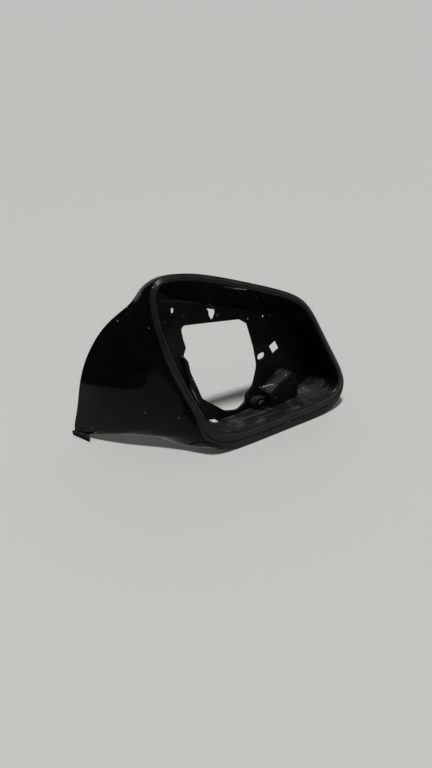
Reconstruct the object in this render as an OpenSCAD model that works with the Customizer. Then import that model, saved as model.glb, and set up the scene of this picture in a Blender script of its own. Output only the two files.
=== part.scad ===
// Wing mirror housing: one injection moulding that frames the mirror glass, carries the
// glass motor on an inner bulkhead and reaches inboard as a cheek over the mounting arm.
// It stands on the lower edge of its rim and on the tip of the cheek, with the glass
// opening facing -Y and the inboard side at -X.

/* [Rim] */
// Width of the glass opening
opening_w = 175; // [150:1:200]
// Height of the glass opening, along the leaning rim
opening_h = 151; // [130:1:175]
// Lean of the glass opening, away from the viewer, in degrees
rim_lean = 8; // [0:0.5:14]
// Extra width of the rim all round
rim_extra = 0; // [0:0.1:4]
// Width of the rounded bead that borders the opening
bead_w = 3.9; // [3:0.1:4.3]
// Height of the bead above the rim's outer slope
bead_h = 1.7; // [1:0.1:2.4]
// Depth of the groove that runs along the rim's outer slope
groove_depth = 0.9; // [0.3:0.1:1.5]

/* [Shell] */
// Thickness of the outer skin
skin_wall = 2.4; // [1.6:0.1:2.8]
// Thickness of the wall round the recess
recess_wall = 2; // [1.4:0.1:2.4]
// Reach of the cheek, inboard of the opening's lower inboard corner
cheek_reach = 109; // [96:1:124]
// Overall depth, from the rim's lower edge to the tip of the cheek
housing_depth = 111; // [96:1:130]

/* [Bulkhead] */
// Depth of the bulkhead behind the rim at its inboard edge
bulkhead_in = 20; // [14:0.5:26]
// Depth of the bulkhead behind the rim at its outboard edge
bulkhead_out = 40; // [30:0.5:46]
// Thickness of the bulkhead
bulkhead_wall = 2.4; // [1.6:0.1:4]
// Length of the wall that stands behind the bulkhead
back_lip = 5; // [2:0.5:10]

/* [Fixings] */
// Radius of the screw bores
screw_r = 1.7; // [1.2:0.1:2.4]
// Radius of the screw bosses
boss_r = 4.6; // [4:0.1:7]
// Height of the lower screw boss above the bulkhead
low_boss_h = 11; // [6:0.5:16]
// Width of the square clip hole
clip_hole_w = 9.2; // [5:0.1:11]
// Height of the square clip hole
clip_hole_h = 10.8; // [5:0.1:12]
// Radius of the locating hole
locating_r = 1.6; // [1:0.1:2.6]
// Radius of the small hole beside the motor opening
small_hole_r = 1.3; // [0.8:0.1:2.2]
// Height of the plug box above the bulkhead
box_h = 15; // [8:0.5:20]
// Thickness of the ribs
rib_wall = 1.4; // [0.8:0.1:2.4]
// Height of the ribs above the bulkhead
rib_h = 6; // [3:0.5:9]
// Length of the foot under the tip of the cheek
foot_l = 22; // [14:0.5:26]

/* [Hidden] */
$fn = 48;
gloss_black = [0.045, 0.047, 0.05];

// The sizes at which the outline rows below are drawn
drawn_w = 175;
drawn_h = 151;
drawn_reach = 109;
drawn_depth = 111;
drawn_sill = 17.5;

// Control rows, from the inboard top corner down the inboard side and round. Each row
// holds the opening's edge x and height in the rim's plane, the rim's width there, how far
// the skin bows outwards, how fast the recess narrows, and the skin's rear edge x, y, z.
rows = [
    [-27, 167.2, 5.6, 2, 0.75, -25, 41, 162],
    [-38.5, 168.8, 5.6, 3, 0.5, -38, 46, 162.5],
    [-46.5, 165.5, 5.4, 4, 0.2, -49, 49, 158.5],
    [-48.6, 154.5, 5, 5, 0.08, -52.5, 54, 148],
    [-47.9, 140, 4.9, 4, 0.08, -56, 61, 138.5],
    [-46, 126, 4.9, 6, 0.05, -69, 67, 129],
    [-43, 111, 5, 11, 0.05, -80, 74, 116],
    [-38.7, 95, 5.1, 16, 0.05, -88.5, 81, 99],
    [-33.5, 79, 5.2, 22, 0.05, -95, 89, 80],
    [-28.3, 65, 5.3, 25, 0.05, -100, 97, 54],
    [-24, 54, 5.5, 23, 0.05, -103, 104, 24],
    [-21, 46, 6.2, 17, 0.05, -110.5, 116.5, -8],
    [-18.5, 40, 8, 12, 0.05, -94, 100, 0],
    [-16, 35, 10, 10, 0.05, -74, 79, 4],
    [-13.3, 31, 12.5, 8, 0.05, -54, 62, 6],
    [-10.3, 27.4, 15, 6, 0.05, -44, 52, 4],
    [-6.5, 24.2, 17.5, 4, 0.05, -31, 35, -4],
    [-1.5, 21.5, 19, 2, 0.05, -17, 24, 8],
    [6, 19.2, 20, 1, 0.05, -6, 17, 4],
    [15, 17.6, 20, 0, 0.05, 3, 16, -2],
    [28, 16.8, 20, 1, 0.05, 12, 32, -1],
    [40, 16.6, 20.1, 4, 0.05, 24, 43, 4],
    [56, 16.6, 20.1, 5, 0.05, 48, 47, 6],
    [76, 16.6, 20.1, 5, 0.05, 76, 47, 6],
    [95, 16.7, 20.8, 4, 0.05, 100, 45, 5.5],
    [110, 17.6, 21.4, 3, 0.05, 118, 41, 5.5],
    [121, 19.8, 18, 2, 0.05, 129, 37, 10],
    [127, 25.5, 10, 2, 0.05, 134, 33, 23],
    [127.5, 35, 6.2, 3, 0.08, 134.5, 29, 38],
    [124, 44, 6.2, 3, 0.08, 131, 27, 50],
    [119.5, 54, 6, 2, 0.1, 125.5, 26, 60],
    [112.2, 71, 5.7, 2, 0.12, 118, 26, 73],
    [105.4, 86.5, 5.7, 2, 0.15, 110.5, 28, 86],
    [100, 99, 5.6, 2, 0.25, 104, 30, 98],
    [93.5, 111, 5.6, 2, 0.4, 95, 32, 109],
    [83, 121.5, 5.7, 2, 0.55, 82, 33, 118],
    [64, 131.4, 5.8, 2, 0.62, 63, 34, 126],
    [42, 141.5, 5.7, 2, 0.68, 42, 35, 135],
    [20, 151.3, 5.6, 2, 0.75, 20, 36, 144.5],
    [-1, 160, 5.5, 2, 0.82, -1, 38, 153.5],
    [-15.5, 164.8, 5.5, 2, 0.85, -14, 39, 158.5],
];
// Steps from one control row to the next
row_steps = 3;
// Places along the skin, from the rim to the rear edge
skin_places = [0, 0.05, 0.13, 0.25, 0.4, 0.55, 0.7, 0.85, 1];
// The first of them that has an inner face behind it
inner_start = 2;

// Places of the features on the bulkhead, as x and height in its plane. A corner's third
// number is its radius.
opening_corners = [
    [-21, 122, 4], [41.5, 108.8, 4], [50.5, 101.5, 4], [55.5, 77, 20],
    [57.5, 57, 20], [50, 39.5, 10], [40.5, 33, 3], [39, 26.5, 4],
    [29, 21.5, 10], [15, 26, 14], [-8.5, 48, 5], [-12, 60, 6], [-17, 77, 5],
    [-18, 88, 3], [-22, 94.5, 2.5], [-18.3, 101, 2.5], [-19.8, 109, 3],
];
low_boss_at = [51, 21];
shoulder_corners = [[42.5, 24, 2], [48, 28.5, 3], [59, 26, 1], [59, 15, 1], [45, 15, 2]];
box_boss_at = [84, 36];
clip_hole_at = [79.4, 69];
slot_hole_at = [62.8, 65.4];
locating_at = [69.5, 103];
small_hole_at = [52, 106];
oval_hole_at = [-26, 137];
clip_slot_corners = [
    [6.5, 131.5, 1.2], [12, 132, 1.2], [17, 126.5, 1], [17, 122, 1],
    [14.2, 117.4, 1], [11, 117.4, 0.8], [9.2, 123, 0.6], [9.4, 126, 0.6],
];
corner_hole_corners = [
    [-5, 26.5, 0.8], [4, 24.3, 0.8], [5.8, 17.2, 0.8],
    [3.7, 12.9, 0.8], [-0.2, 16.5, 0.8], [-2.9, 21.8, 0.8],
];
box_corners = [[57, 33, 4], [82, 45.5, 5], [91, 43, 6], [91.5, 15, 2], [58, 15, 2]];
socket_corners = [[59.8, 31.8, 2], [81.8, 42.8, 3], [88.4, 41, 4], [88.8, 22.5, 1.5], [60.4, 22.5, 1.5]];
rib_corners = [[-25, 95], [-22.5, 75], [-21, 62], [-17, 49], [-12, 39]];
lug_at = [98, 22];

// Smooth closed curve through the rows, as a cubic B-spline
function blend(a, b, c, d, t) =
    (pow(1 - t, 3) * a + (3 * pow(t, 3) - 6 * pow(t, 2) + 4) * b
    + (-3 * pow(t, 3) + 3 * pow(t, 2) + 3 * t + 1) * c + pow(t, 3) * d) / 6;
function row(k) = rows[(k + len(rows)) % len(rows)];
stations = [
    for (k = [0 : len(rows) - 1], s = [0 : row_steps - 1])
        blend(row(k - 1), row(k), row(k + 1), row(k + 2), s / row_steps)
];
count = len(stations);
function station(i) = stations[(i + count) % count];

// The driving sizes stretch the drawn rows
wide = opening_w / drawn_w;
tall = opening_h / drawn_h;
reach = cheek_reach / drawn_reach;
deep = housing_depth / drawn_depth;
function stretch_x(x) = x < 0 ? x * reach : x * wide;
function edge_xy(i) = [station(i)[0] * wide, drawn_sill + (station(i)[1] - drawn_sill) * tall];
function edge_w(i) = station(i)[2] + rim_extra;
function draft(i) = station(i)[4];
function rear(i) = [stretch_x(station(i)[5]), station(i)[6] * deep, station(i)[7] * tall];

// Outward direction of the opening's edge, in the rim's plane
function unit(v) = v / norm(v);
function outward(i) =
    let (t = unit(edge_xy(i + 1) - edge_xy(i - 1)))
    [t[1], -t[0]];

// A point of the rim's frame, at an offset outside the opening's edge and a depth behind it
function lean(x, h, d) = [
    x,
    d * cos(rim_lean) + h * sin(rim_lean),
    h * cos(rim_lean) - d * sin(rim_lean)
];
function rim(i, offset, d) =
    let (p = edge_xy(i) + offset * outward(i))
    lean(p[0], p[1], d);

// The groove is deepest where the rim is wide, and fades out where the rim is narrow
groove_start = 7;
groove_full = 15;
function groove(i) =
    let (f = (edge_w(i) - groove_start) / (groove_full - groove_start))
    groove_depth * min(max(f, 0), 1);

// The rim's outer corner lies deeper where the rim is wide
corner_depth = 3.2;
corner_slope = 0.15;
narrow_w = 4.5;
function corner_d(i) = corner_depth + corner_slope * (edge_w(i) - narrow_w);
function slope_point(i, f, sink) =
    rim(i, bead_w + f * (edge_w(i) - bead_w), bead_h + f * (corner_d(i) - bead_h) + sink);

// The outer skin runs from the rim's corner to the rear edge, bowed outwards
function skin(i, u) =
    let (
        a = rim(i, edge_w(i), corner_d(i)),
        c = rear(i),
        n = outward(i),
        m = (a + c) / 2 + station(i)[3] * lean(n[0], n[1], 0)
    )
    pow(1 - u, 2) * a + 2 * u * (1 - u) * m + pow(u, 2) * c;
probe = 0.02;
function skin_normal(i, u) =
    let (
        v = min(u, 1 - probe),
        along = skin(i + 1, v) - skin(i - 1, v),
        back = skin(i, v + probe) - skin(i, max(v - probe, 0))
    )
    unit(cross(back, along));
function inner_skin(i, u) = skin(i, u) - skin_wall * skin_normal(i, u);

root_depth = 5;
function bulkhead_d(x) =
    bulkhead_in + (bulkhead_out - bulkhead_in) * (x + 50 * wide) / (175 * wide);
function recess_end(i) = bulkhead_d(edge_xy(i)[0]) + bulkhead_wall + back_lip;

// One section through the shell, from the recess round the bead and the skin and back
function section(i) =
    let (d = recess_end(i))
    concat(
        [
            rim(i, -draft(i) * d, d),
            rim(i, -draft(i) * root_depth / 2, root_depth),
            rim(i, 0, bead_h),
            rim(i, bead_w * 0.2, bead_h * 0.25),
            rim(i, bead_w * 0.5, 0),
            rim(i, bead_w * 0.8, bead_h * 0.25),
            slope_point(i, 0, 0),
            slope_point(i, 0.45, 0),
            slope_point(i, 0.5, groove(i)),
            slope_point(i, 0.56, 0),
        ],
        [for (u = skin_places) skin(i, u)],
        [for (k = [len(skin_places) - 1 : -1 : inner_start]) inner_skin(i, skin_places[k])],
        [
            rim(i, recess_wall - draft(i) * root_depth / 2, root_depth + 0.6),
            rim(i, recess_wall - draft(i) * d, d),
        ]
    );
sections = [for (i = [0 : count - 1]) section(i)];
per = len(sections[0]);

// The lowest point of the shell stands on the ground
ground = min([for (s = sections, p = s) p[2]]);
middle = [
    (min([for (s = sections, p = s) p[0]]) + max([for (s = sections, p = s) p[0]])) / 2,
    (min([for (s = sections, p = s) p[1]]) + max([for (s = sections, p = s) p[1]])) / 2
];

// Rim, recess wall and outer skin as one closed surface
module shell() {
    points = [for (s = sections, p = s) p];
    faces = [
        for (i = [0 : count - 1], k = [0 : per - 1])
            let (
                a = i * per + k,
                b = i * per + (k + 1) % per,
                c = ((i + 1) % count) * per + (k + 1) % per,
                d = ((i + 1) % count) * per + k
            )
            each [[a, c, b], [a, d, c]]
    ];
    polyhedron(points, faces);
}

// Local frame of the bulkhead: x and height in its plane, +Z towards the viewer
bulkhead_turn = atan((bulkhead_out - bulkhead_in) / (175 * wide));
module on_bulkhead() {
    rotate([90 - rim_lean, 0, 0])
        translate([0, 0, -bulkhead_d(0)])
            rotate([0, bulkhead_turn, 0])
                children();
}
function on_plan(p) = [p[0] * wide, drawn_sill + (p[1] - drawn_sill) * tall];

// A polygon whose corners are rounded: each corner is its x, y and radius
corner_steps = 5;
function rounded_corner(a, b, c, r) =
    let (
        u = unit(a - b),
        v = unit(c - b),
        half = acos(u * v) / 2,
        run = r / tan(half),
        centre = b + unit(u + v) * r / sin(half),
        from = b + u * run - centre,
        turn = (180 - 2 * half) * sign(cross(from, b + v * run - centre))
    )
    [
        for (k = [0 : corner_steps])
            let (q = turn * k / corner_steps)
            centre + [from[0] * cos(q) - from[1] * sin(q), from[0] * sin(q) + from[1] * cos(q)]
    ];
function at(list, k) = let (p = list[(k + len(list)) % len(list)]) on_plan([p[0], p[1]]);
function rounded(list) = [
    for (k = [0 : len(list) - 1])
        each rounded_corner(at(list, k - 1), at(list, k), at(list, k + 1), list[k][2])
];

// Outline of the bulkhead, which ends inside the recess wall
sunk = 0.5;
function bulkhead_offset(i) =
    let (d = bulkhead_d(edge_xy(i)[0]) + bulkhead_wall / 2)
    sunk * recess_wall - draft(i) * d;
bulkhead_outline = [for (i = [0 : count - 1]) edge_xy(i) + bulkhead_offset(i) * outward(i)];
module plate() {
    translate([0, 0, -bulkhead_wall])
        linear_extrude(bulkhead_wall)
            polygon(bulkhead_outline);
}

cut = 60;
slot_hole_l = 9.8;
slot_hole_w = 6.8;
oval_hole_l = 5.2;
oval_hole_w = 3.6;
clip_hole_turn = 22;
notch_back = 6;
notch_front = 4;
module through() {
    translate([0, 0, -cut])
        linear_extrude(2 * cut)
            children();
}
module motor_opening() {
    through()
        polygon(rounded(opening_corners));
}
module long_hole(p, length, width, turn) {
    translate(on_plan(p))
        rotate(turn)
            union() {
                square([length - width, width], center = true);
                for (s = [-1, 1])
                    translate([s * (length - width) / 2, 0])
                        circle(width / 2);
            }
}
module clip_slot() {
    through()
        polygon(rounded(clip_slot_corners));
}
// The corner hole runs into the recess wall below the bulkhead
module corner_hole() {
    translate([0, 0, -notch_back])
        linear_extrude(notch_back + notch_front)
            polygon(rounded(corner_hole_corners));
}
module holes() {
    motor_opening();
    clip_slot();
    through()
        translate(on_plan(clip_hole_at))
            rotate(clip_hole_turn)
                square([clip_hole_w, clip_hole_h], center = true);
    through()
        long_hole(slot_hole_at, slot_hole_l, slot_hole_w, 0);
    through()
        long_hole(oval_hole_at, oval_hole_l, oval_hole_w, 90);
    through()
        translate(on_plan(locating_at))
            circle(locating_r);
    through()
        translate(on_plan(small_hole_at))
            circle(small_hole_r);
}

// What stands on the bulkhead starts a little way inside it
root = 1;
module plug_box() {
    translate([0, 0, -root])
        linear_extrude(box_h + root)
            polygon(rounded(box_corners));
}
// The box is hollow behind, round the column of its screw boss
module plug_socket() {
    translate([0, 0, -cut])
        linear_extrude(cut + box_h - bulkhead_wall)
            difference() {
                polygon(rounded(socket_corners));
                translate(on_plan(box_boss_at))
                    circle(boss_r);
            }
}
module boss(p, h) {
    translate(concat(on_plan(p), -root))
        cylinder(h = h + root, r = boss_r);
}
// A lower shoulder stands round the lower boss and joins it to the plug box
shoulder_h = 7.5;
module shoulder() {
    translate([0, 0, -root])
        linear_extrude(shoulder_h + root)
            polygon(rounded(shoulder_corners));
}
bore_depth = 9;
clear = 1;
module bore(p, h) {
    translate(concat(on_plan(p), h - bore_depth))
        cylinder(h = bore_depth + clear, r = screw_r);
}

// A rib stands on the bulkhead from one place to the next
module rib(p, q) {
    a = on_plan(p);
    b = on_plan(q);
    way = unit(b - a);
    side = rib_wall / 2 * [way[1], -way[0]];
    over = rib_wall / 2 * way;
    translate([0, 0, -root])
        linear_extrude(rib_h + root)
            polygon([a - over + side, b + over + side, b + over - side, a - over - side]);
}
lug_w = 3;
lug_l = 12;
lug_h = 6;
lug_turn = -20;
module lug() {
    translate(concat(on_plan(lug_at), -root))
        rotate(lug_turn)
            linear_extrude(lug_h + root)
                square([lug_w, lug_l], center = true);
}

module bulkhead() {
    on_bulkhead()
        difference() {
            union() {
                difference() {
                    plate();
                    holes();
                }
                plug_box();
                shoulder();
                boss(low_boss_at, low_boss_h);
                lug();
                for (k = [1 : len(rib_corners) - 1])
                    rib(rib_corners[k - 1], rib_corners[k]);
            }
            plug_socket();
            bore(low_boss_at, low_boss_h);
            bore(box_boss_at, box_h);
        }
}

// The foot is a lip under the tip of the cheek. It widens as it runs towards the front.
foot_h = 5;
foot_tip = [-108.8, 113.2];
foot_way = unit([9, -20]);
foot_back = [13, -10];
foot_tip_w = 2;
module foot() {
    tip = [foot_tip[0] * reach, foot_tip[1] * deep];
    translate([0, 0, ground])
        linear_extrude(foot_h)
            polygon([tip, tip + foot_l * foot_way, tip + foot_back, tip + [foot_tip_w, 0]]);
}

module housing() {
    color(gloss_black)
        translate([-middle[0], -middle[1], -ground]) {
            difference() {
                union() {
                    shell();
                    bulkhead();
                    foot();
                }
                on_bulkhead()
                    corner_hole();
            }
        }
}

housing();
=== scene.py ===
"""Looks of a car's wing mirror housing, which is one gloss black moulding, dusty inside and
finely scratched outside."""
import math

import bmesh
import bpy
import numpy as np
from mathutils import Matrix, Vector


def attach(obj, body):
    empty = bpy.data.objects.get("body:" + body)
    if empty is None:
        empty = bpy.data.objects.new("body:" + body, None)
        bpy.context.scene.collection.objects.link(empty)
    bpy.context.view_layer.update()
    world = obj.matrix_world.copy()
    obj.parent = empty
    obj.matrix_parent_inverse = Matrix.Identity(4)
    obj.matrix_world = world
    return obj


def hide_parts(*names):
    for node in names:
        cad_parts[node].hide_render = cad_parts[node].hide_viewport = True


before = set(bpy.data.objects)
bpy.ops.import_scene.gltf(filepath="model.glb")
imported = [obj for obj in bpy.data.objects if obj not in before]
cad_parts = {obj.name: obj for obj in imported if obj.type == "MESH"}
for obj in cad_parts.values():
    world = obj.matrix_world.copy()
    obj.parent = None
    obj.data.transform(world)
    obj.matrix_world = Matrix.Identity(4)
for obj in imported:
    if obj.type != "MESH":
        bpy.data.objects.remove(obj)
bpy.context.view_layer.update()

MM = 0.001

# The photograph's camera
CAMERA_PLACE = Vector((-262.6, -478.9, 383.7)) * MM
CAMERA_TURN = math.radians(29.3)
CAMERA_PITCH = math.radians(32.0)
CAMERA_ROLL = math.radians(2.8)
FRAME_HEIGHT = 768
FOCAL_PIXELS = 680
SENSOR = 36.0
FARTHEST = 50


def add_camera():
    """Looks down on the opening from the inboard side, slightly rolled."""
    ahead = Vector((
        math.sin(CAMERA_TURN) * math.cos(CAMERA_PITCH),
        math.cos(CAMERA_TURN) * math.cos(CAMERA_PITCH),
        -math.sin(CAMERA_PITCH),
    ))
    level = Vector((math.cos(CAMERA_TURN), -math.sin(CAMERA_TURN), 0))
    down = ahead.cross(level)
    right = math.cos(CAMERA_ROLL) * level + math.sin(CAMERA_ROLL) * down
    up = math.sin(CAMERA_ROLL) * level - math.cos(CAMERA_ROLL) * down
    turn = Matrix((right, up, -ahead)).transposed().to_4x4()
    data = bpy.data.cameras.new("camera")
    data.sensor_width = SENSOR
    data.lens = FOCAL_PIXELS / FRAME_HEIGHT * SENSOR
    data.clip_end = FARTHEST
    camera = bpy.data.objects.new("camera", data)
    camera.matrix_world = Matrix.Translation(CAMERA_PLACE) @ turn
    bpy.context.scene.collection.objects.link(camera)
    bpy.context.scene.camera = camera


# Mesh of the housing
WELD = 0.002 * MM
FLAT_PAIR = math.radians(30)
SQUARE_PAIR = math.radians(60)
CREASE_ANGLE = math.radians(47)
SMOOTH_ANGLE = math.radians(38)


def only(obj):
    """Makes an object the only one selected, and active."""
    bpy.ops.object.select_all(action="DESELECT")
    obj.select_set(True)
    bpy.context.view_layer.objects.active = obj


def refined_housing():
    """A merged, smoothed and refined copy of the solid, with its three finishes."""
    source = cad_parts["housing"]
    piece = bpy.data.objects.new("housing_skin", source.data.copy())
    bpy.context.scene.collection.objects.link(piece)
    only(piece)
    bpy.ops.object.mode_set(mode="EDIT")
    bpy.ops.mesh.select_all(action="SELECT")
    bpy.ops.mesh.remove_doubles(threshold=WELD)
    bpy.ops.mesh.customdata_custom_splitnormals_clear()
    bpy.ops.mesh.tris_convert_to_quads(face_threshold=FLAT_PAIR, shape_threshold=SQUARE_PAIR)
    bpy.ops.object.mode_set(mode="OBJECT")
    mesh = bmesh.new()
    mesh.from_mesh(piece.data)
    crease = mesh.edges.layers.float.new("crease_edge")
    for edge in mesh.edges:
        sharp = not edge.is_manifold or edge.calc_face_angle(0) > CREASE_ANGLE
        edge[crease] = 1.0 if sharp else 0.0
    mesh.to_mesh(piece.data)
    mesh.free()
    add_materials(piece)
    zone_faces(piece)
    finer = piece.modifiers.new("finer", "SUBSURF")
    finer.levels = 1
    finer.render_levels = 1
    bpy.ops.object.modifier_apply(modifier="finer")
    bpy.ops.object.shade_smooth_by_angle(angle=SMOOTH_ANGLE)
    return piece


# The rim's plane leans back, and depths are measured behind it
RIM_LEAN = math.radians(8)
RIM_ORIGIN = Vector((-14.64, -57.42, 4.69)) * MM
OPENING_CENTRE = (35 * MM, 85 * MM)

# Sizes of the rim's section, as in the solid
BEAD_HEIGHT = 1.7 * MM
BEAD_WIDTH = 3.9 * MM
CORNER_DEPTH = 3.2 * MM
CORNER_SLOPE = 0.15
NARROW_WIDTH = 4.5 * MM
GROOVE_START = 7 * MM
GROOVE_FULL = 15 * MM
GROOVE_ROOM = 0.5 * MM

# How close a point has to be to count as on the bead's ring or on the rim
RING_SLACK = 0.03 * MM
RING_STEP = math.radians(4)
RIM_SLACK = 0.15 * MM

# The outer skin spreads from a spot on the cheek to the creases round it
SKIN_CREASE = math.radians(40)
CHEEK_SPOT = Vector((-108.8, 25.6, 34.5)) * MM


def rim_points(data):
    """x, height and depth of many points at once, in the leaning rim's own frame."""
    p = data - np.array(RIM_ORIGIN)
    height = p[:, 1] * math.sin(RIM_LEAN) + p[:, 2] * math.cos(RIM_LEAN)
    depth = p[:, 1] * math.cos(RIM_LEAN) - p[:, 2] * math.sin(RIM_LEAN)
    return p[:, 0], height, depth


def opening_ring():
    """The opening's edge, read from the solid: the inner of the two rings beside the bead.

    A rough ring of the innermost points tells the two rings apart.
    """
    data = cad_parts["housing"].data
    co = np.empty(len(data.vertices) * 3)
    data.vertices.foreach_get("co", co)
    x, height, depth = rim_points(co.reshape(-1, 3))
    on = np.abs(depth - BEAD_HEIGHT) < RING_SLACK
    flat = np.unique(np.round(np.stack((x[on], height[on]), 1), 7), axis=0)
    away = flat - np.array(OPENING_CENTRE)
    angle = np.arctan2(away[:, 1], away[:, 0])
    radius = np.hypot(away[:, 0], away[:, 1])
    bins = np.round(angle / RING_STEP).astype(int)
    rough = np.array([flat[bins == k][np.argmin(radius[bins == k])] for k in np.unique(bins)])
    inner = offset_outside(flat[:, 0], flat[:, 1], rough) < 0.5 * BEAD_WIDTH
    return flat[inner][np.argsort(angle[inner])]


def offset_outside(x, height, ring):
    """Distance of points from the opening's edge, negative inside it."""
    best = np.full(len(x), np.inf)
    inside = np.zeros(len(x), bool)
    for a, b in zip(ring, np.roll(ring, -1, 0)):
        way = b - a
        length = max(way @ way, 1e-12)
        along = np.clip(((x - a[0]) * way[0] + (height - a[1]) * way[1]) / length, 0, 1)
        far = np.hypot(x - a[0] - along * way[0], height - a[1] - along * way[1])
        best = np.minimum(best, far)
        crosses = (a[1] > height) != (b[1] > height)
        if a[1] != b[1]:
            inside ^= crosses & (x < a[0] + (height - a[1]) / (b[1] - a[1]) * way[0])
    return np.where(inside, -best, best)


def outer_faces(mesh, rim, start):
    """Faces of the outer skin, spread from one of them over everything but sharp folds and the
    rim.
    """
    reached = {start}
    ahead = [mesh.faces[start]]
    while ahead:
        for edge in ahead.pop().edges:
            if len(edge.link_faces) == 2 and edge.calc_face_angle(0) < SKIN_CREASE:
                for face in edge.link_faces:
                    if face.index not in reached and not rim[face.index]:
                        reached.add(face.index)
                        ahead.append(face)
    return reached


def zone_faces(piece):
    """Gives each face its material: outer gloss, satin rim or dull recess."""
    mesh = bmesh.new()
    mesh.from_mesh(piece.data)
    mesh.faces.ensure_lookup_table()
    points = np.array([vertex.co for vertex in mesh.verts])
    x, height, depth = rim_points(points)
    out = offset_outside(x, height, opening_ring())
    corner = CORNER_DEPTH + CORNER_SLOPE * (out - NARROW_WIDTH)
    corner += GROOVE_ROOM * np.clip((2 * out - GROOVE_START) / (GROOVE_FULL - GROOVE_START), 0, 1)
    on_rim = (out > -RIM_SLACK) & (depth < corner + RIM_SLACK)
    rim = [all(on_rim[vertex.index] for vertex in face.verts) for face in mesh.faces]
    start = min(mesh.faces, key=lambda face: (face.calc_center_median() - CHEEK_SPOT).length)
    outer = outer_faces(mesh, rim, start.index)
    for face in mesh.faces:
        face.material_index = 1 if rim[face.index] else 0 if face.index in outer else 2
    mesh.to_mesh(piece.data)
    mesh.free()


def group(name, inputs, outputs):
    """A new node group with its named inputs and outputs."""
    tree = bpy.data.node_groups.new(name, "ShaderNodeTree")
    for label, kind, value in inputs:
        socket = tree.interface.new_socket(label, in_out="INPUT", socket_type=kind)
        if value is not None:
            socket.default_value = value
    for label, kind in outputs:
        tree.interface.new_socket(label, in_out="OUTPUT", socket_type=kind)
    start = tree.nodes.new("NodeGroupInput")
    end = tree.nodes.new("NodeGroupOutput")
    return tree, tree.nodes, tree.links, start, end


def feed(links, value, socket):
    """Sets a socket to a value, or links another node's output to it."""
    if isinstance(value, bpy.types.NodeSocket):
        links.new(value, socket)
    elif value is not None:
        socket.default_value = value


def add_math(nodes, links, operation, a, b=None, clamp=False):
    """A sum on two values."""
    node = nodes.new("ShaderNodeMath")
    node.operation = operation
    node.use_clamp = clamp
    feed(links, a, node.inputs[0])
    feed(links, b, node.inputs[1])
    return node.outputs[0]


def add_range(nodes, links, value, low, high, to_low=0.0, to_high=1.0):
    """Carries a value smoothly from one range to another."""
    node = nodes.new("ShaderNodeMapRange")
    node.interpolation_type = "SMOOTHSTEP"
    feed(links, value, node.inputs["Value"])
    feed(links, low, node.inputs["From Min"])
    feed(links, high, node.inputs["From Max"])
    feed(links, to_low, node.inputs["To Min"])
    feed(links, to_high, node.inputs["To Max"])
    return node.outputs["Result"]


def add_noise(nodes, links, place, scale, detail=3.0, stretch=None, turn=0.0):
    """Cloudy noise, or lines where it is stretched."""
    if stretch is not None:
        spread = nodes.new("ShaderNodeMapping")
        spread.inputs["Scale"].default_value = stretch
        spread.inputs["Rotation"].default_value = (0, turn, 0)
        links.new(place, spread.inputs["Vector"])
        place = spread.outputs["Vector"]
    noise = nodes.new("ShaderNodeTexNoise")
    noise.inputs["Scale"].default_value = scale
    noise.inputs["Detail"].default_value = detail
    links.new(place, noise.inputs["Vector"])
    return noise.outputs["Fac"]


def add_vector(nodes, links, operation, a, b=None, scale=None):
    """A sum on two vectors."""
    node = nodes.new("ShaderNodeVectorMath")
    node.operation = operation
    feed(links, a, node.inputs[0])
    feed(links, b, node.inputs[1])
    if scale is not None:
        feed(links, scale, node.inputs["Scale"])
    return node.outputs["Value" if operation in ("DOT_PRODUCT", "LENGTH") else "Vector"]


def add_split(nodes, links, vector):
    """The X, Y and Z of a vector."""
    node = nodes.new("ShaderNodeSeparateXYZ")
    links.new(vector, node.inputs[0])
    return node.outputs


def use(nodes, links, tree, place, **values):
    """Places an effect in a material with its own values, and gives its mask."""
    node = nodes.new("ShaderNodeGroup")
    node.node_tree = tree
    links.new(place, node.inputs["Place"])
    for label, value in values.items():
        feed(links, value, node.inputs[label.replace("_", " ")])
    return node.outputs["Mask"]


def add_mix(nodes, links, mask, a, b, kind="RGBA"):
    """Goes from one colour to another by a mask, or from one number to another."""
    node = nodes.new("ShaderNodeMix")
    node.data_type = kind
    feed(links, mask, node.inputs["Factor"])
    feed(links, a, node.inputs["A"])
    feed(links, b, node.inputs["B"])
    return node.outputs["Result"]


# Effects that more than one finish uses. A range is two noise values, and what they become.
CLOUD_SCALE = 75
CLOUD_RANGE = (0.42, 0.62, 0.12, 1)
STREAK_SCALE = 60
STREAK_STRETCH = (0.5, 4, 4)
STREAK_RANGE = (0.4, 0.62, 0.35, 1)
GRAIN_SCALE = 900
GRAIN_RANGE = (0.45, 0.7, 0.55, 1.2)


def dust_group():
    """Dust that has fallen on what faces up, in clouds and grains."""
    tree, nodes, links, start, end = group(
        "fallen_dust",
        [("Place", "NodeSocketVector", None), ("Normal", "NodeSocketVector", None),
         ("Least Up", "NodeSocketFloat", 0.2), ("Full Up", "NodeSocketFloat", 0.9)],
        [("Mask", "NodeSocketFloat")],
    )
    facing = add_split(nodes, links, start.outputs["Normal"])
    least, full = start.outputs["Least Up"], start.outputs["Full Up"]
    up = add_range(nodes, links, facing["Z"], least, full)
    place = start.outputs["Place"]
    clouds = add_noise(nodes, links, place, CLOUD_SCALE, 5)
    clouds = add_range(nodes, links, clouds, *CLOUD_RANGE)
    streaks = add_noise(nodes, links, place, STREAK_SCALE, 3, STREAK_STRETCH)
    streaks = add_range(nodes, links, streaks, *STREAK_RANGE)
    grains = add_noise(nodes, links, place, GRAIN_SCALE, 2)
    grains = add_range(nodes, links, grains, *GRAIN_RANGE)
    mask = add_math(nodes, links, "MULTIPLY", up, clouds)
    mask = add_math(nodes, links, "MULTIPLY", mask, streaks)
    mask = add_math(nodes, links, "MULTIPLY", mask, grains, clamp=True)
    links.new(mask, end.inputs["Mask"])
    return tree


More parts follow.
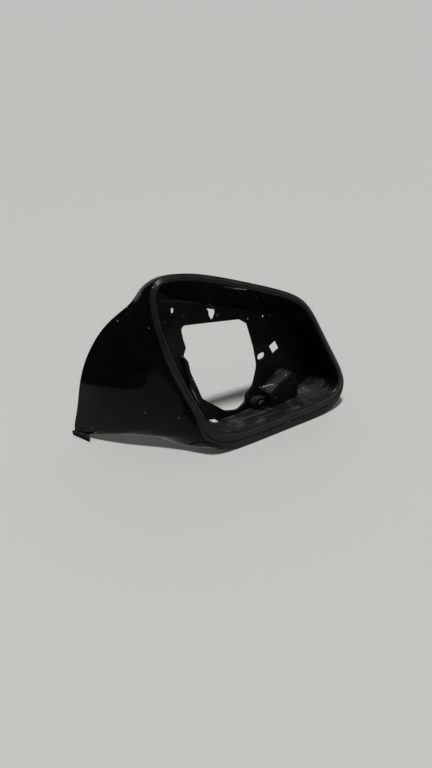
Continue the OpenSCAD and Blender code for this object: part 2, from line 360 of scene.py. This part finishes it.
# Each way of the scratches: its turn, and how close together the lines are along X, Y and Z
SCRATCH_WAYS = [(0.5, (14, 3, 420)), (-0.8, (12, 3, 380)), (1.35, (16, 3, 450))]
SCRATCH_RANGE = (0.70, 0.78)


def scratch_group():
    """Fine hairline scratches in three directions."""
    tree, nodes, links, start, end = group(
        "hairlines", [("Place", "NodeSocketVector", None)], [("Mask", "NodeSocketFloat")],
    )
    total = None
    for turn, stretch in SCRATCH_WAYS:
        hair = add_noise(nodes, links, start.outputs["Place"], 1, 1, stretch, turn)
        line = add_range(nodes, links, hair, *SCRATCH_RANGE)
        total = line if total is None else add_math(nodes, links, "MAXIMUM", total, line)
    links.new(total, end.inputs["Mask"])
    return tree


# Cells of the specks in a metre, and where a speck ends and is full, as shares of a cell
SPECK_SCALE = 260
SPECK_RANGE = (0.16, 0.06)


def speck_group():
    """Scattered grains of dirt, each about a third of a millimetre across."""
    tree, nodes, links, start, end = group(
        "specks", [("Place", "NodeSocketVector", None), ("Share", "NodeSocketFloat", 0.1)],
        [("Mask", "NodeSocketFloat")],
    )
    cells = nodes.new("ShaderNodeTexVoronoi")
    cells.inputs["Scale"].default_value = SPECK_SCALE
    links.new(start.outputs["Place"], cells.inputs["Vector"])
    dot = add_range(nodes, links, cells.outputs["Distance"], *SPECK_RANGE)
    colour = nodes.new("ShaderNodeSeparateColor")
    links.new(cells.outputs["Color"], colour.inputs["Color"])
    chosen = add_math(nodes, links, "LESS_THAN", colour.outputs["Red"], start.outputs["Share"])
    links.new(add_math(nodes, links, "MULTIPLY", dot, chosen), end.inputs["Mask"])
    return tree


# Marks on the moulding, each as its two ends, its radius and its strength, in millimetres
PALE_MARKS_AND_HIGHLIGHTS = [
    # Painted highlight: a bright bar on the recess's top wall
    ((0.5, -31.8, 154.0), (9.7, -32.6, 150.4), 0.8, 0.6),
    ((79.3, -29.6, 104.1), (79.3, -29.6, 104.1), 6.0, 0.03),
    ((3.2, -13.3, 119.5), (3.2, -13.3, 119.5), 2.6, 0.35),
    # Painted highlight: a pale line along the joint of the recess's top wall and the bulkhead
    ((-50.9, -15.4, 148.7), (-35.0, -14.3, 143.8), 1.1, 0.13),
    ((-35.0, -14.3, 143.8), (-14.1, -12.6, 136.8), 1.3, 0.11),
    ((-14.1, -12.6, 136.8), (9.1, -12.5, 128.7), 1.1, 0.1),
    ((88.5, -29.7, 19.5), (97.0, -37.0, 21.5), 2.6, 0.12),
    ((49.0, -26.0, 37.0), (66.0, -30.0, 46.0), 6.5, 0.09),
    ((-0.7, -35.3, 20.7), (36.5, -39.8, 19.7), 2.2, 0.16),
    ((20.0, -44.0, 19.6), (48.0, -47.0, 20.2), 1.2, 0.14),
    ((-36.3, -29.4, 68.6), (-33.5, -32.2, 58.6), 1.6, 0.5),
    ((-33.5, -32.2, 58.6), (-29.1, -31.9, 45.0), 1.4, 0.3),
]

# Small pale spots, and two painted highlights: on the plug box's ridge and at the recess's top
PALE_SPOTS = [
    (-63.3, -31.8, 170.2), (-68.5, -17.6, 160.1), (-73.1, 2.6, 142.4), (-82.6, 3.9, 132.1),
    (-111.0, 32.4, 16.7), (-105.2, 23.6, 17.0), (-108.5, 30.5, 11.9), (65.1, -31.3, 45.2),
    (42.3, -20.6, 34.9), (29.6, -23.7, 23.9), (41.9, -38.5, 19.6), (90.2, -26.0, 19.2),
    (-35.1, -28.6, 60.4),
]
SPOT_RADIUS = 0.8
PAINTED_HIGHLIGHTS = [
    ((45.4, -21.2, 34.6), (52.5, -28.9, 38.8), 0.8, 1.0),
    ((9.7, -32.6, 150.4), (19.7, -34.8, 147.3), 1.2, 0.9),
]

# Painted shade and painted shadow, and two dark lines: a crack in the bulkhead and one on the
# cheek
DARK_MARKS = [
    # Painted shade on the right of the lower wall
    ((98.0, -36.0, 24.0), (112.0, -42.0, 30.0), 11.0, 0.45),
    ((-112.4, 32.5, 44.2), (-108.8, 25.6, 34.5), 0.5, 0.7),
    ((-108.8, 25.6, 34.5), (-104.5, 19.5, 27.4), 0.8, 1.0),
    ((-45.6, -21.8, 98.8), (-39.3, -27.6, 95.6), 0.6, 0.9),
    # Painted shade standing in for a crease along the bottom of the skin
    ((-66.5, -18.4, 22.4), (-49.0, -37.9, 26.8), 0.6, 0.8),
    ((-49.0, -37.9, 26.8), (-39.5, -48.5, 29.7), 0.6, 0.8),
    # Painted shadow in the band under the cheek's wave
    ((-43.7, -35.6, 12.0), (-40.0, -44.7, 19.5), 2.2, 0.9),
    ((-40.0, -44.7, 19.5), (-35.1, -50.4, 20.2), 2.2, 0.9),
    ((-35.1, -50.4, 20.2), (-27.7, -51.5, 15.2), 2.2, 0.9),
    ((-27.7, -51.5, 15.2), (-19.8, -51.9, 9.1), 2.0, 0.8),
    # Painted shadow under the cheek's lower lip
    ((-118.2, 47.3, 10.5), (-103.2, 21.4, 18.4), 1.1, 1.0),
    ((-103.2, 21.4, 18.4), (-94.7, 10.3, 19.5), 0.7, 0.8),
]

# How ragged a mark is, and where it is full and where it ends, as shares of its radius
RAG_SCALE = 600
RAG_DEPTH = 0.6
MARK_CORE = 0.5
MARK_EDGE = 1.3


def marks_group(name, marks):
    """Capsule-shaped marks with ragged edges, at given places."""
    tree, nodes, links, start, end = group(
        name, [("Place", "NodeSocketVector", None)], [("Mask", "NodeSocketFloat")],
    )
    rag = add_noise(nodes, links, start.outputs["Place"], RAG_SCALE, 2)
    total = None
    for a, b, radius, strength in marks:
        first = Vector(a) * MM
        way = Vector(b) * MM - first
        off = add_vector(nodes, links, "SUBTRACT", start.outputs["Place"], first)
        if way.length > 0:
            share = add_vector(nodes, links, "DOT_PRODUCT", off, way / way.length_squared)
            share = add_math(nodes, links, "MULTIPLY", share, 1.0, clamp=True)
            back = add_vector(nodes, links, "SCALE", way, scale=share)
            off = add_vector(nodes, links, "SUBTRACT", off, back)
        far = add_vector(nodes, links, "LENGTH", off)
        ragged = add_math(nodes, links, "MULTIPLY", rag, RAG_DEPTH * radius * MM)
        far = add_math(nodes, links, "ADD", far, ragged)
        edge, core = MARK_EDGE * radius * MM, MARK_CORE * radius * MM
        spot = add_range(nodes, links, far, edge, core, 0, strength)
        total = spot if total is None else add_math(nodes, links, "MAXIMUM", total, spot)
    links.new(total, end.inputs["Mask"])
    return tree


DUST = dust_group()
HAIRLINES = scratch_group()
SPECKS = speck_group()
PALE_AND_HIGHLIGHTS = marks_group("pale_marks_and_painted_highlights", PALE_MARKS_AND_HIGHLIGHTS)
ROUND_SPOTS = [(place, place, SPOT_RADIUS, 1.0) for place in PALE_SPOTS]
SPOTS_AND_HIGHLIGHTS = marks_group("spots_and_highlights", ROUND_SPOTS + PAINTED_HIGHLIGHTS)
SHADE_AND_LINE_MARKS = marks_group("painted_shade_and_dark_lines", DARK_MARKS)

# Colours of dust and marks, of painted highlights, and of painted shade
DUST_COLOUR = (0.13, 0.135, 0.127, 1)
SPECK_AND_HIGHLIGHT_COLOUR = (0.35, 0.35, 0.34, 1)
MARK_COLOUR = (0.2, 0.205, 0.195, 1)
SHADE_AND_LINE_BLACK = (0.0006, 0.0006, 0.0006, 1)
SHADED_BLACK = (0.002, 0.0023, 0.0022, 1)

# Finishes of the plastic, in the order of the three zones
FINISHES = {
    "gloss_black": dict(
        colour=(0.0022, 0.0024, 0.0024, 1), roughness=0.09, specular=0.14,
        dust=0.05, least_up=0.3, full_up=1.0, hair=0.035, share=0.006,
    ),
    "satin_black": dict(
        colour=(0.0125, 0.0133, 0.0127, 1), roughness=0.31, specular=0.27,
        dust=0.14, least_up=0.3, full_up=1.0, hair=0.06, share=0.03,
    ),
    "dull_black": dict(
        colour=(0.009, 0.0101, 0.0092, 1), roughness=0.4, specular=0.1,
        dust=0.55, least_up=0.25, full_up=0.95, hair=0.03, share=0.06, shaded=True,
    ),
}

# How blotchy and how worn the plastic is
MOTTLE_SCALE = 55
MOTTLE_DARK = 0.65
WEAR_SCALE = 90
NOISE_RANGE = (0.3, 0.7)
LEAST_ROUGH = 0.85
MOST_ROUGH = 1.25
DUST_ROUGHENS = 0.5

# Which ways the recess's sides with painted light face, and the bulkhead, as ranges of the
# normal's parts
OUTBOARD_RANGE = (-0.75, -0.2)
UPWARD_RANGE = (-0.45, 0.0)
UPRIGHT_RANGE = (-0.9, -0.7, 1.0, 0.0)

# Where the bulkhead's painted light turns to painted shade along X, and how pale it stays
BULKHEAD_LIT_UNTIL = -45 * MM
BULKHEAD_SHADED_FROM = 10 * MM
BULKHEAD_LIT_SHARE = 0.25


def new_material(name):
    """A new material, with its nodes, its links and its shader."""
    material = bpy.data.materials.new(name)
    material.use_nodes = True
    nodes = material.node_tree.nodes
    return material, nodes, material.node_tree.links, nodes["Principled BSDF"]


def lit_sides(nodes, links, place, normal):
    """Mask of the recess's sides with painted light; the bulkhead keeps it on its inboard end
    only.
    """
    facing = add_split(nodes, links, normal)
    outboard = add_range(nodes, links, facing["X"], *OUTBOARD_RANGE)
    upward = add_range(nodes, links, facing["Z"], *UPWARD_RANGE)
    lit = add_math(nodes, links, "MULTIPLY", outboard, upward)
    along = add_split(nodes, links, place)["X"]
    bulkhead_shade = add_range(nodes, links, along, BULKHEAD_LIT_UNTIL, BULKHEAD_SHADED_FROM, 0.0, 1 - BULKHEAD_LIT_SHARE)
    upright = add_range(nodes, links, facing["Y"], *UPRIGHT_RANGE)
    dimmed = add_math(nodes, links, "MULTIPLY", upright, bulkhead_shade)
    rest = add_math(nodes, links, "SUBTRACT", 1.0, dimmed)
    return add_math(nodes, links, "MULTIPLY", lit, rest)


def plastic(name, colour, roughness, specular, dust, least_up, full_up, hair, share, shaded=False):
    """Black plastic with fallen dust, scratches and specks, and painted shade on sides facing away
    from the light if asked.
    """
    material, nodes, links, shader = new_material(name)
    place = nodes.new("ShaderNodeTexCoord").outputs["Object"]
    normal = nodes.new("ShaderNodeNewGeometry").outputs["Normal"]
    fallen = use(nodes, links, DUST, place, Normal=normal, Least_Up=least_up, Full_Up=full_up)
    fallen = add_math(nodes, links, "MULTIPLY", fallen, dust)
    lines = add_math(nodes, links, "MULTIPLY", use(nodes, links, HAIRLINES, place), hair)
    dots = use(nodes, links, SPECKS, place, Share=share)
    mottle = add_noise(nodes, links, place, MOTTLE_SCALE, 4)
    mottle = add_range(nodes, links, mottle, *NOISE_RANGE)
    dark = tuple(MOTTLE_DARK * c for c in colour[:3]) + (1,)
    base = add_mix(nodes, links, mottle, dark, colour)
    if shaded:
        # Painted shade: faces turned inboard or down, and the bulkhead's outboard part, take the
        # shaded black
        lit = lit_sides(nodes, links, place, normal)
        base = add_mix(nodes, links, lit, SHADED_BLACK, base)
    base = add_mix(nodes, links, lines, base, DUST_COLOUR)
    base = add_mix(nodes, links, fallen, base, DUST_COLOUR)
    # Pale marks, some of them painted highlights
    pale = use(nodes, links, PALE_AND_HIGHLIGHTS, place)
    base = add_mix(nodes, links, pale, base, MARK_COLOUR)
    # Specks, pale spots and painted highlights, in the speck colour
    spots_and_highlights = add_math(nodes, links, "MAXIMUM", dots, use(nodes, links, SPOTS_AND_HIGHLIGHTS, place))
    base = add_mix(nodes, links, spots_and_highlights, base, SPECK_AND_HIGHLIGHT_COLOUR)
    # Painted shade and dark lines, in the darkest black
    shade_and_lines = use(nodes, links, SHADE_AND_LINE_MARKS, place)
    base = add_mix(nodes, links, shade_and_lines, base, SHADE_AND_LINE_BLACK)
    links.new(base, shader.inputs["Base Color"])
    wear = add_noise(nodes, links, place, WEAR_SCALE, 3)
    least, most = roughness * LEAST_ROUGH, roughness * MOST_ROUGH
    rough = add_range(nodes, links, wear, *NOISE_RANGE, least, most)
    dusty = add_math(nodes, links, "MULTIPLY", fallen, DUST_ROUGHENS)
    rough = add_math(nodes, links, "ADD", rough, dusty, clamp=True)
    # Painted shade and dark lines are made rough, so they lose their reflection
    rough = add_math(nodes, links, "MAXIMUM", rough, shade_and_lines)
    links.new(rough, shader.inputs["Roughness"])
    shader.inputs["Specular IOR Level"].default_value = specular
    return material


# Floor, which lies a little below the part
FLOOR_DROP = 0.3 * MM
FLOOR_SIZE = 60
FLOOR_COLOUR = (0.62, 0.62, 0.6, 1)
FLOOR_ROUGH = 0.6

# Plan of a pale board that only glossy rays see, round the part, in millimetres
BOARD_PLAN = [
    (-130, 340), (-226, 340), (-226, 98), (-228, 68), (-222, 31), (-209, 1), (-196, -22),
    (-183, -42), (-177, -59), (-191, -72), (-211, -82), (-195, -93), (-160, -95), (-137, -95),
    (-114, -90), (-97, -80), (-87, -66), (-81, -70), (-77, -106), (-60, -118), (-60, -700),
    (700, -700), (700, -20), (-40, -20), (-40, 60),
]
BOARD_COLOUR = (1, 1, 0.97, 1)
BOARD_GLOW = 0.3


def add_floor():
    """A plain pale floor."""
    bpy.ops.object.select_all(action="DESELECT")
    bpy.ops.mesh.primitive_plane_add(size=FLOOR_SIZE, location=(0, 0, -FLOOR_DROP))
    floor = bpy.context.active_object
    floor.name = "floor"
    material, nodes, links, shader = new_material("pale_floor")
    shader.inputs["Base Color"].default_value = FLOOR_COLOUR
    shader.inputs["Roughness"].default_value = FLOOR_ROUGH
    floor.data.materials.append(material)
    floor.visible_glossy = False


def add_board():
    """Gives the lower cheek its paler reflection, with a clear edge."""
    data = bpy.data.meshes.new("glow_board")
    corners = [(x * MM, y * MM, -2 * FLOOR_DROP) for x, y in BOARD_PLAN]
    data.from_pydata(corners, [], [list(range(len(corners)))])
    board = bpy.data.objects.new("glow_board", data)
    bpy.context.scene.collection.objects.link(board)
    material, nodes, links, shader = new_material("glow_board")
    shader.inputs["Base Color"].default_value = (0, 0, 0, 1)
    shader.inputs["Specular IOR Level"].default_value = 0
    shader.inputs["Emission Color"].default_value = BOARD_COLOUR
    shader.inputs["Emission Strength"].default_value = BOARD_GLOW
    data.materials.append(material)
    board.visible_camera = False
    board.visible_diffuse = False
    board.visible_shadow = False


# Air of the room: its fill light, what the camera sees, and what glossy rays see, which is
# dark but for the far side and the top
WORLD_FILL = 0.17
WORLD_SEEN = 0.5
WORLD_COLOUR = (1, 1, 0.985, 1)
ROOM_DARK = 0.02
ROOM_PALE = 0.3

# Where the far side and the top begin and are full, as parts of a ray's direction
WALL_RANGE = (0.25, 0.75)
WALL_SIDE_RANGE = (-0.4, -0.05)
TOP_RANGE = (0.75, 0.98)

# One studio lamp, soft and far away, in front on the inboard side
LAMP_POWER = 2.5
LAMP_WIDTH = math.radians(6)
LAMP_WAY = (-0.28, -0.32, 1)


def add_air():
    """Soft light from all round, with its own look for the camera and for glossy rays."""
    world = bpy.data.worlds.new("soft_room")
    bpy.context.scene.world = world
    world.use_nodes = True
    nodes = world.node_tree.nodes
    links = world.node_tree.links
    background = nodes["Background"]
    way = nodes.new("ShaderNodeTexCoord").outputs["Generated"]
    ahead = Vector((math.sin(CAMERA_TURN), math.cos(CAMERA_TURN), 0))
    parts = add_split(nodes, links, way)
    wall = add_vector(nodes, links, "DOT_PRODUCT", way, ahead)
    wall = add_range(nodes, links, wall, *WALL_RANGE)
    side = add_range(nodes, links, parts["X"], *WALL_SIDE_RANGE)
    wall = add_math(nodes, links, "MULTIPLY", wall, side)
    top = add_range(nodes, links, parts["Z"], *TOP_RANGE)
    both = add_math(nodes, links, "MAXIMUM", wall, top)
    glossy = add_range(nodes, links, both, 0, 1, ROOM_DARK, ROOM_PALE)
    ray = nodes.new("ShaderNodeLightPath").outputs
    seen = add_mix(nodes, links, ray["Is Glossy Ray"], WORLD_FILL, glossy, "FLOAT")
    seen = add_mix(nodes, links, ray["Is Camera Ray"], seen, WORLD_SEEN, "FLOAT")
    links.new(seen, background.inputs["Strength"])
    background.inputs["Color"].default_value = WORLD_COLOUR


def add_lamp():
    """One soft studio lamp."""
    data = bpy.data.lights.new("studio_lamp", "SUN")
    data.angle = LAMP_WIDTH
    data.energy = LAMP_POWER
    lamp = bpy.data.objects.new("studio_lamp", data)
    lamp.matrix_world = Vector(LAMP_WAY).to_track_quat("Z", "Y").to_matrix().to_4x4()
    bpy.context.scene.collection.objects.link(lamp)


def add_materials(piece):
    """Gives the copy its three finishes."""
    piece.data.materials.clear()
    for name, values in FINISHES.items():
        piece.data.materials.append(plastic(name, **values))


def dress_housing():
    """Puts the finished copy in the solid's place."""
    piece = refined_housing()
    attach(piece, "root")
    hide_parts("housing")


add_camera()
dress_housing()
add_floor()
add_board()
add_air()
add_lamp()
bpy.context.scene.view_settings.view_transform = "Standard"
